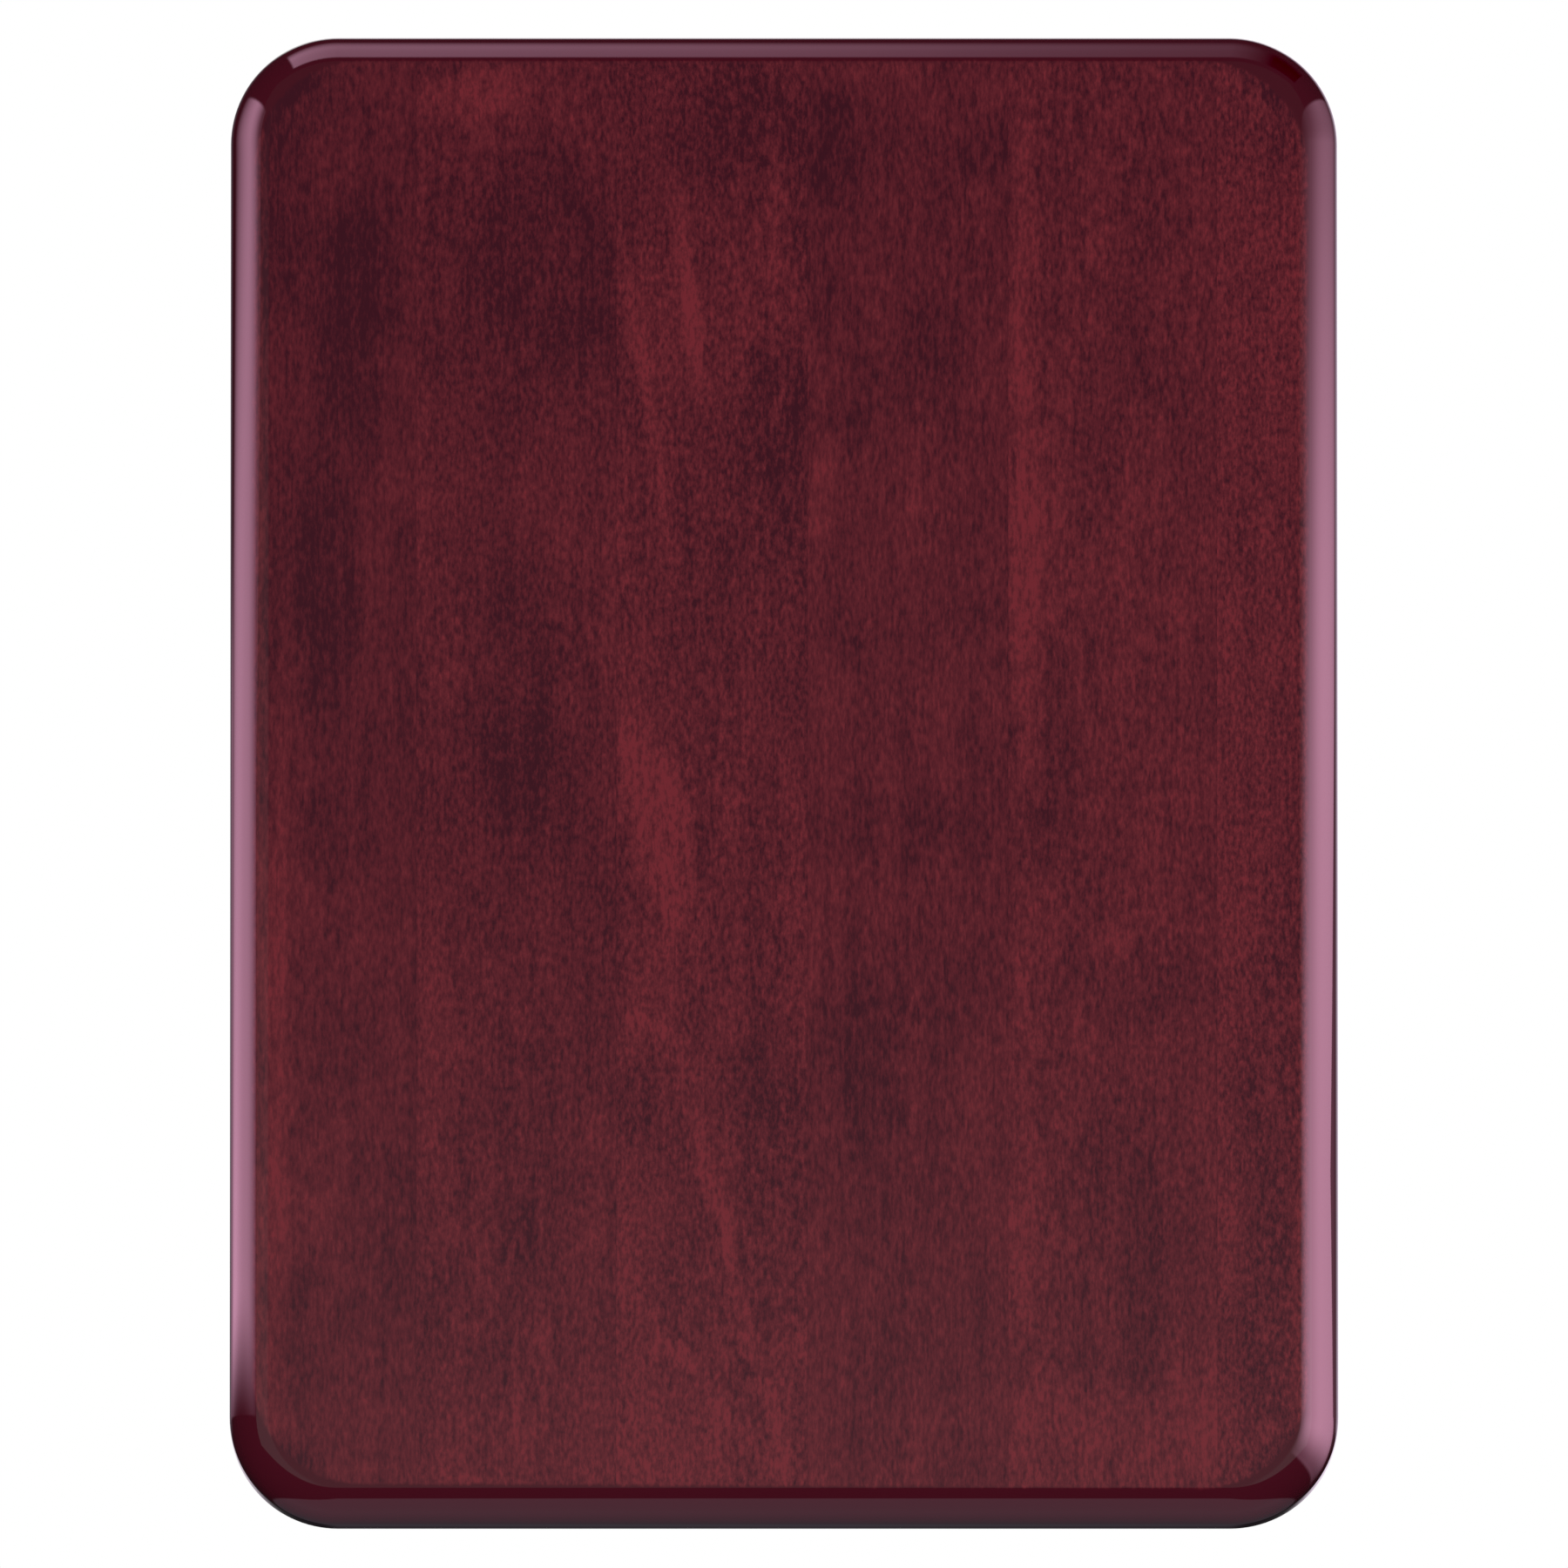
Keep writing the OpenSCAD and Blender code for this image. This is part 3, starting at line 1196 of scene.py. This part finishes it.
    def _cross(self, screw: bpy.types.Object) -> None:
        """Sink the tapered cross that the driver fits.

        Args:
            screw: The screw, around the origin.
        """
        arm = self.head_r * 0.58
        arms = []
        for turn in (45, 135):
            low = Vector((-arm, self.back_y - self.CROSS_DEPTH, -self.CROSS_HALF_WIDTH))
            high = Vector((arm, self.back_y + self.CROSS_DEPTH * 0.4, self.CROSS_HALF_WIDTH))
            blade = Bench.block("cross_arm", low, high)
            Bench.pick(blade, "FACE", lambda face: face.normal.y < -0.9)
            bpy.ops.transform.resize(value=(0.35, 1.0, 0.6))
            Bench.done()
            Bench.place(blade, Matrix.Rotation(math.radians(turn), 4, "Y"))
            arms.append(blade)
        Bench.cut(screw, arms)
        Bench.scrap(arms)

    def _thread(self, neck_y: float) -> bpy.types.Object:
        """Sweep one tooth round the core into a helical thread.

        Args:
            neck_y: How deep under the plate's face the head ends, in metres.

        Returns:
            The thread, around the origin.
        """
        turns = int((self.screw_l - self.tip_l * 0.6 - neck_y - self.thread_pitch) / self.thread_pitch)
        root, tooth = self.core_r * 0.9, self.thread_pitch * 0.33
        start_y = self.back_y - neck_y - self.thread_pitch * 0.8
        Bench.clear()
        bpy.ops.mesh.primitive_circle_add(
            vertices=3, radius=tooth, fill_type="NOTHING", rotation=(0, 0, math.radians(-90))
        )
        thread = Bench.settle("thread")
        out = max(vertex.co.x for vertex in thread.data.vertices)
        back = min(vertex.co.x for vertex in thread.data.vertices)
        stretch = (self.thread_r - root) / (out - back)
        for vertex in thread.data.vertices:
            vertex.co = Vector((root + (vertex.co.x - back) * stretch, start_y + vertex.co.y, 0.0))
        Bench.modify(
            thread,
            "SCREW",
            axis="Y",
            angle=math.radians(-360) * turns,
            screw_offset=-self.thread_pitch * turns,
            steps=self.THREAD_STEPS * turns,
            render_steps=self.THREAD_STEPS * turns,
            use_smooth_shade=False,
            use_merge_vertices=False,
        )
        Bench.pick(thread, "EDGE", lambda edge: edge.is_boundary)
        bpy.ops.mesh.fill_holes(sides=0)
        bpy.ops.mesh.select_all(action="SELECT")
        bpy.ops.mesh.normals_make_consistent(inside=False)
        Bench.done()
        return thread


# ---------------------------------------------------------------- the board


@dataclass
class GluedBoard:
    """Six staves, glued edge to edge and shaped as one board."""

    corner_r: float = 22 * MM
    edge_r: float = 8 * MM
    back_edge_r: float = 1.5 * MM
    corner_steps: int = 28
    edge_steps: int = 14
    back_edge_steps: int = 4
    glaze_left_mm: float = 4.8
    glaze_right_mm: float = 6.2
    glaze_bottom_mm: float = 7.25
    glaze_top_mm: float = 5.6
    low: Vector = field(init=False)
    high: Vector = field(init=False)

    STAVES = tuple(f"stave_{number}" for number in range(1, 7))

    def __post_init__(self) -> None:
        """Read the board's box from its first and last staves."""
        self.low = Vector(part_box(self.STAVES[0])[0])
        self.high = Vector(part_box(self.STAVES[-1])[1])

    def blank(self) -> bpy.types.Object:
        """The whole board, with its corners and edges rounded.

        Returns:
            The board in one piece.
        """
        board = Bench.block("board", self.low, self.high)
        Bench.round_edges(board, Bench.along_y, self.corner_r, self.corner_steps)
        Bench.round_edges(board, Bench.at_y(self.low.y), self.edge_r, self.edge_steps)
        Bench.round_edges(board, Bench.at_y(self.high.y), self.back_edge_r, self.back_edge_steps)
        return board

    def finish(self, index: int) -> LacqueredWood:
        """The wood of one stave.

        Args:
            index: Which stave, counted from 0 on the left.

        Returns:
            Its finish.
        """
        half_width, half_height = self.high.x / MM, self.high.z / MM
        edge = GlazeEdge(
            left_mm=self.glaze_left_mm - half_width,
            right_mm=half_width - self.glaze_right_mm,
            bottom_mm=self.glaze_bottom_mm - half_height,
            top_mm=half_height - self.glaze_top_mm,
            corner_mm=self.corner_r / MM,
        )
        low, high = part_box(self.STAVES[index])
        return LacqueredWood(
            edge=edge,
            look=STAVE_LOOKS[index],
            left_mm=float(low[0]) / MM,
            right_mm=float(high[0]) / MM,
            seed=1.0 + index,
            name=f"lacquered_{self.STAVES[index]}",
        )

    def build(self, hangers: Sequence[Hanger]) -> list[bpy.types.Object]:
        """Saw the board at its joints and rout the hangers' recesses.

        Args:
            hangers: The hangers whose recesses are cut.

        Returns:
            The staves, from left to right.
        """
        board = self.blank()
        tools = [tool for hanger in hangers for tool in hanger.cutters()]
        staves = []
        for index, node in enumerate(self.STAVES):
            low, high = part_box(node)
            stave = Bench.copy(board, f"wood_{node}")
            if index > 0:
                Bench.slice(stave, float(low[0]), keep_right=True)
            if index < len(self.STAVES) - 1:
                Bench.slice(stave, float(high[0]), keep_right=False)
            dress(stave, self.finish(index))
            left, right = float(low[0]), float(high[0])
            Bench.cut(stave, [tool for tool in tools if self._meets(tool, left, right)])
            Bench.smooth(stave)
            hand_over(stave, node)
            staves.append(stave)
        Bench.scrap([board, *tools])
        return staves

    @staticmethod
    def _meets(tool: bpy.types.Object, left: float, right: float) -> bool:
        """Whether a cutter reaches into a stave."""
        xs = [vertex.co.x for vertex in tool.data.vertices]
        return max(xs) > left and min(xs) < right


STAVE_LOOKS = (
    StaveLook(
        tone=-0.02,
        fleck_mm=(0.8, 2.3),
        fleck_depth=1.8,
        clouds=(
            Cloud(-86.5, 94, 10, 29, -0.27),
            Cloud(-93.5, 38, 7, 31, -0.3),
            Cloud(-94, -11, 6, 11, -0.14),
            Cloud(-103.5, 84, 3, 70, -0.12),
            Cloud(-103.5, -62, 3, 68, 0.24),
        ),
    ),
    StaveLook(
        tone=0.0,
        fleck_mm=(0.8, 1.9),
        fleck_depth=2.2,
        clouds=(
            Cloud(-63, 140, 13, 6, 0.3),
            Cloud(-49, 105, 15, 30, -0.2),
            Cloud(-43, 92, 9, 6.5, -0.16),
            Cloud(-56, 18, 10, 31, -0.2),
            Cloud(-52, 0, 8, 14, -0.1),
            Cloud(-53.5, -95, 6, 12, -0.16),
            Cloud(-70.5, -60, 4, 38, 0.1),
            Cloud(-54.5, -126, 1.2, 12, 0.2),
        ),
    ),
    StaveLook(
        tone=0.03,
        fleck_mm=(0.8, 1.8),
        fleck_depth=2.55,
        clouds=(
            Cloud(-9, 133, 14, 16, -0.2),
            Cloud(-28, 79, 1.7, 34, 0.24, -9.5),
            Cloud(-19, 97, 2.2, 25, 0.32, -7),
            Cloud(-2.5, 73, 7, 24, -0.16),
            Cloud(3, 50, 2, 41, -0.2),
            Cloud(-25, -11, 7, 25, 0.32, -16),
            Cloud(-28, -52, 1.6, 8, 0.28, -48),
            Cloud(-10, -102, 1.7, 48, 0.28, -15),
            Cloud(-17, -124, 2, 26, 0.22, -39),
            Cloud(-30, -68, 4, 8, -0.22),
            Cloud(-2.5, -60, 7, 14, -0.14),
        ),
    ),
    StaveLook(
        tone=0.04,
        fleck_mm=(0.75, 2.3),
        fleck_depth=2.0,
        clouds=(
            Cloud(10, 130, 6, 14, -0.22),
            Cloud(40, 129, 6, 8, -0.22),
            Cloud(25, 110, 20, 36, -0.12),
            Cloud(24, -11, 19, 8, -0.14),
            Cloud(13.5, -51, 8, 18, -0.12),
            Cloud(24, -66, 18, 42, -0.08),
        ),
    ),
    StaveLook(
        tone=0.09,
        fleck_mm=(0.8, 2.05),
        fleck_depth=2.3,
        clouds=(
            Cloud(49, 72, 3.5, 76, 0.26),
            Cloud(70, -43, 18, 10, -0.15),
            Cloud(73, -98, 5, 32, -0.16),
            Cloud(49.5, -90, 4.5, 24, 0.15),
            Cloud(84, -127, 5, 14, 0.15),
        ),
    ),
    StaveLook(
        tone=0.09,
        fleck_mm=(0.75, 1.7),
        fleck_depth=2.8,
        clouds=(
            Cloud(103, 30, 4, 60, -0.12),
            Cloud(96, -90, 7, 40, -0.1),
        ),
    ),
)


@dataclass
class FeltBack:
    """The thin black felt on the back, cut out round the plates."""

    corner_r: float = 18 * MM
    corner_steps: int = 20
    ease: float = 0.2 * MM
    node: str = "backing_sheet"

    def build(
        self, hangers: Sequence[Hanger], staves: Sequence[bpy.types.Object]
    ) -> bpy.types.Object:
        """Cut the felt to shape and soften its edges.

        Args:
            hangers: The hangers that the felt is cut out for.
            staves: The staves of the board that it is glued to. Not used.

        Returns:
            The felt.
        """
        low, high = (Vector(corner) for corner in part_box(self.node))
        felt = Bench.block("felt_backing", low, high)
        Bench.round_edges(felt, Bench.along_y, self.corner_r, self.corner_steps)
        tools = [hanger.sheet_cutter() for hanger in hangers]
        Bench.cut(felt, tools)
        Bench.scrap(tools)
        Bench.soften(felt, self.ease, 2)
        Bench.smooth(felt)
        dress(felt, BlackFelt())
        hand_over(felt, self.node)
        flat = (high.x - low.x, high.z - low.z)
        corners = (4 - math.pi) * self.corner_r**2
        openings = sum(hanger.opening_area for hanger in hangers)
        flat[0] * flat[1] - corners - openings
        return felt


# ---------------------------------------------------------------- the studio


@dataclass(frozen=True)
class Card(Finish):
    """A soft glowing card beside the board, which only shows as a reflection in the lacquer.

    The light that falls on the board comes from the whole room, so a card is not a lamp. It
    is a clear sheet that glows, so it never hides another card.
    """

    name: str = "card"
    middle: tuple[float, float, float] = (0.0, 0.0, 0.0)
    size: tuple[float, float] = (1.0, 1.0)
    turn: tuple[float, float, float] = (0.0, 0.0, 0.0)
    radiance: tuple[float, float, float] = (1.0, 1.0, 1.0)

    def glow(self, x: Wire, y: Wire, z: Wire) -> Wire:
        """How bright the card is at a point, as a part of its radiance."""
        raise NotImplementedError

    def shader(self, tree: Tree) -> bpy.types.Node:
        """Add a clear sheet's shader with a glow on top.

        Args:
            tree: The tree to draw in.

        Returns:
            The shader.
        """
        light = tree.tinted(self.glow(*tree.split(tree.point())), self.radiance)
        glow = tree.out(tree.add("ShaderNodeEmission", {}, {"Color": light}))
        clear = tree.out(tree.add("ShaderNodeBsdfTransparent"))
        return tree.add("ShaderNodeAddShader", {}, {0: glow, 1: clear})

    def put_up(self) -> bpy.types.Object:
        """Stand the card in the studio.

        Returns:
            The card.
        """
        Bench.clear()
        bpy.ops.mesh.primitive_plane_add(
            size=1.0,
            location=self.middle,
            rotation=[math.radians(angle) for angle in self.turn],
        )
        bpy.ops.transform.resize(value=(*self.size, 1.0), orient_type="LOCAL")
        card = Bench.settle(self.name)
        dress(card, self)
        card.visible_camera = card.visible_diffuse = card.visible_shadow = False
        card.visible_transmission = card.visible_volume_scatter = False
        card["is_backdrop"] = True
        return card


class LeftCard(Card):
    """Clean-edged towards the front, and fading out behind the board."""

    LOW_END, HIGH_END = (-0.115, -0.085), (0.275, 0.262)
    SAME_ABOVE = 0.15
    FRONT_EDGE, FRONT_FADE = (-0.290, -0.268), (-0.31, -0.09)
    BACK_FADE = (0.245, -0.02)
    TAIL_END, TAIL_TOP = (0.4, 0.25), (0.09, 0.04)

    def glow(self, x: Wire, y: Wire, z: Wire) -> Wire:
        """Reach farther to the front the higher it is, and less far to the back.

        Args:
            x: The place across the board, in metres. Not used.
            y: The place from front to back.
            z: The height.

        Returns:
            A part of the radiance.
        """
        ends = z.ramp(*self.LOW_END) * z.ramp(*self.HIGH_END)
        z = z.at_most(self.SAME_ABOVE)
        edge = (y / (1.0 + (z - 0.03).at_least(0.0) * 4.3)).ramp(*self.FRONT_EDGE)
        nearer = y / (1.0 + (z - 0.05).at_least(0.0) * 1.8)
        front = edge * (0.1 + nearer.ramp(*self.FRONT_FADE) * 0.9)
        backward = y + z * 0.5 + (z - 0.07).at_least(0.0) * 0.6
        tail = y.ramp(*self.TAIL_END) * z.ramp(*self.TAIL_TOP) * 0.13
        return front * backward.ramp(*self.BACK_FADE).at_least(tail) * ends


class RightCard(Card):
    """Brightest low down, where it reaches far to the front."""

    MIDDLE_REACH = 0.325
    BRIGHT_BELOW = (0.2, 0.03)
    BACK_EDGE, BACK_FADE = (0.048, 0.034), (0.28, -0.16)
    LOW_END, LOW_FADE, HIGH_END = (-0.29, -0.275), (-0.27, -0.16), (0.268, 0.256)

    def glow(self, x: Wire, y: Wire, z: Wire) -> Wire:
        """Fade slowly to the front, and end cleanly at the back, soonest low down.

        Args:
            x: The place across the board, in metres. Not used.
            y: The place from front to back.
            z: The height.

        Returns:
            A part of the radiance.
        """
        height = z + y * 0.09 - 0.01
        reach = self.MIDDLE_REACH - height * 0.7 + (-height).at_least(0.0) * 1.1
        ahead = (-y).at_least(0.0) / reach.at_least(0.05)
        front = 1.0 / (1.0 + ahead * ahead)
        lower = 0.33 + z.ramp(*self.BRIGHT_BELOW) * 0.67
        back_edge = (y - abs(z + 0.062) * 1.1).ramp(*self.BACK_EDGE)
        behind = y.ramp(*self.BACK_FADE) * (0.16 + back_edge * 0.84)
        low_end = height.ramp(*self.LOW_END) * (0.2 + height.ramp(*self.LOW_FADE) * 0.8)
        return front * lower * behind * low_end * z.ramp(*self.HIGH_END)


class TopCard(Card):
    """Brightest at its left end."""

    LEFT_END, DIMMER_FROM = (-0.215, -0.205), (0.0, 0.06)
    FRONT_EDGE, BACK_FADE = (-0.186, -0.15), (0.1, -0.03)

    def glow(self, x: Wire, y: Wire, z: Wire) -> Wire:
        """Fade to the right and to the back, with a clean edge in front and on the left."""
        along = (0.2 - x).at_least(0.0) * 5.3 - x.ramp(*self.DIMMER_FROM) * 0.12
        return along * x.ramp(*self.LEFT_END) * y.ramp(*self.FRONT_EDGE) * y.ramp(*self.BACK_FADE)


class FrontCard(Card):
    """The pale haze of the room behind the camera, which lies over the whole front."""

    UPPER, MIDDLE = (0.2, 0.06), (0.06, -0.1)
    SIDES, SIDES_BELOW = (0.115, 0.16), (0.25, 0.1)
    LOW_END = (-0.262, -0.25)

    def glow(self, x: Wire, y: Wire, z: Wire) -> Wire:
        """Grow from the top down to the card's clean lower edge, and towards the sides.

        Args:
            x: The place across the board, in metres.
            y: The place from front to back. Not used.
            z: The height.

        Returns:
            A part of the radiance.
        """
        lower = 0.08 + z.ramp(*self.UPPER) * 0.05 + z.ramp(*self.MIDDLE) * 0.17
        sides = abs(x).ramp(*self.SIDES) * z.ramp(*self.SIDES_BELOW) * 0.18
        return (lower + sides) * z.ramp(*self.LOW_END)


class BackCard(Card):
    """Gives the keyhole plates something to shine with."""

    RISE, LOW_END, SIDES = (-0.1, 0.38), (-0.175, -0.06), (0.24, 0.16)

    def glow(self, x: Wire, y: Wire, z: Wire) -> Wire:
        """Brighter towards the top, and fading out softly at the bottom and the sides."""
        level = 0.45 + z.ramp(*self.RISE) * 0.75
        return level * z.ramp(*self.LOW_END) * abs(x).ramp(*self.SIDES)


@dataclass
class Studio:
    """Camera, plain floor and soft surroundings."""

    camera_below: float = 5.5
    camera_away: float = 12.0
    aim_low: float = 1.5 * MM
    view_width: float = 319.7 * MM
    floor_below: float = 1.5
    floor_size: float = 16.0
    sensor: float = 36.0

    REFLECTED_TINT = (1.25, 1.0, 1.25)
    CARDS = (
        LeftCard(
            name="left_card",
            middle=(-0.313, 0.0, 0.0),
            size=(0.7, 1.2),
            turn=(0, 90, 0),
            radiance=(6.8, 3.4, 5.0),
        ),
        RightCard(
            name="right_card",
            middle=(0.313, -0.75, 0.0),
            size=(0.7, 2.7),
            turn=(0, 90, 0),
            radiance=(10.6, 5.2, 7.6),
        ),
        TopCard(
            name="top_card",
            middle=(0.0, 0.0, 0.352),
            size=(0.6, 0.5),
            radiance=(2.0, 1.05, 1.5),
        ),
        FrontCard(
            name="front_card",
            middle=(0.0, -0.6, 0.19),
            size=(1.1, 0.92),
            turn=(90, 0, 0),
        ),
        BackCard(
            name="back_card",
            middle=(0.0, 0.32, 0.1),
            size=(0.48, 0.56),
            turn=(90, 0, 0),
            radiance=(0.93, 1.0, 0.93),
        ),
    )

    def camera(self) -> bpy.types.Object:
        """Put the camera a little below the board, far away, looking at its middle.

        Returns:
            The camera.
        """
        low, high = (Vector(corner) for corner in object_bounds())
        target = Vector((0.0, low.y, (low.z + high.z) / 2 - self.aim_low))
        angle = math.radians(self.camera_below)
        away = Vector((0.0, -math.cos(angle), -math.sin(angle))) * self.camera_away
        data = bpy.data.cameras.new("studio_camera")
        data.sensor_width = self.sensor
        data.lens = self.sensor * self.camera_away / self.view_width
        data.clip_end = 100.0
        camera = bpy.data.objects.new("studio_camera", data)
        camera.location = target + away
        camera.rotation_euler = (-away).to_track_quat("-Z", "Y").to_euler()
        bpy.context.collection.objects.link(camera)
        bpy.context.scene.camera = camera
        return camera

    def floor(self) -> bpy.types.Object:
        """Lay the pale floor.

        Returns:
            The floor.
        """
        Bench.clear()
        bpy.ops.mesh.primitive_plane_add(size=self.floor_size, location=(0.0, 0.0, -self.floor_below))
        floor = Bench.settle("studio_floor")
        dress(floor, PaleFloor())
        floor.visible_glossy = floor.visible_diffuse = False
        floor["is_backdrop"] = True
        return floor

    def surroundings(self) -> None:
        """Light the room softly, mostly from the front, with a white backdrop.

        What the lacquer reflects is darker than the room: a pale table below the board, and
        a pale wall behind it, brighter on the right.
        """
        world = bpy.data.worlds.new("studio")
        bpy.context.scene.world = world
        world.use_nodes = True
        tree = Tree(world.node_tree)
        x, y, z = tree.split(tree.out(tree.add("ShaderNodeTexCoord"), "Generated"))
        room = tree.tinted(0.45 + (-y).at_least(0.0) * 0.9 + z * 0.1, (1.0, 1.0, 1.0))
        table = (z - y * 0.35 + abs(x) * 0.75).ramp(-0.40, -0.44)
        wall = y.ramp(0.7, 0.86) * z.ramp(-0.03, 0.05) * (0.12 + x.ramp(-0.3, 0.3) * 0.75)
        reflected = 0.012 + table * (0.46 - y.at_least(0.0) * 0.42) + wall
        path = tree.add("ShaderNodeLightPath")
        in_lacquer = tree.tinted(reflected, self.REFLECTED_TINT)
        gloss = tree.mix(tree.out(path, "Is Glossy Ray"), room, in_lacquer)
        light = tree.mix(tree.out(path, "Is Camera Ray"), gloss, (1.0, 1.0, 1.0, 1.0))
        backdrop = tree.add("ShaderNodeBackground", {}, {"Color": light, "Strength": 1.0})
        tree.add("ShaderNodeOutputWorld", {}, {"Surface": tree.out(backdrop)})

    def build(self) -> None:
        """Set up everything that isn't the plaque."""
        self.camera()
        self.floor()
        for card in self.CARDS:
            card.put_up()
        self.surroundings()
        bpy.context.scene.view_settings.view_transform = "Standard"


def main() -> None:
    """Build the plaque piece by piece, then the studio."""
    logging.basicConfig(level=logging.INFO, format="%(message)s")
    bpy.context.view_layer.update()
    hangers = [Hanger(hang) for hang in Hang]
    staves = GluedBoard().build(hangers)
    FeltBack().build(hangers, staves)
    for hanger in hangers:
        hanger.plate()
        hanger.screws()
    Studio().build()


if __name__ == "__main__":
    main()
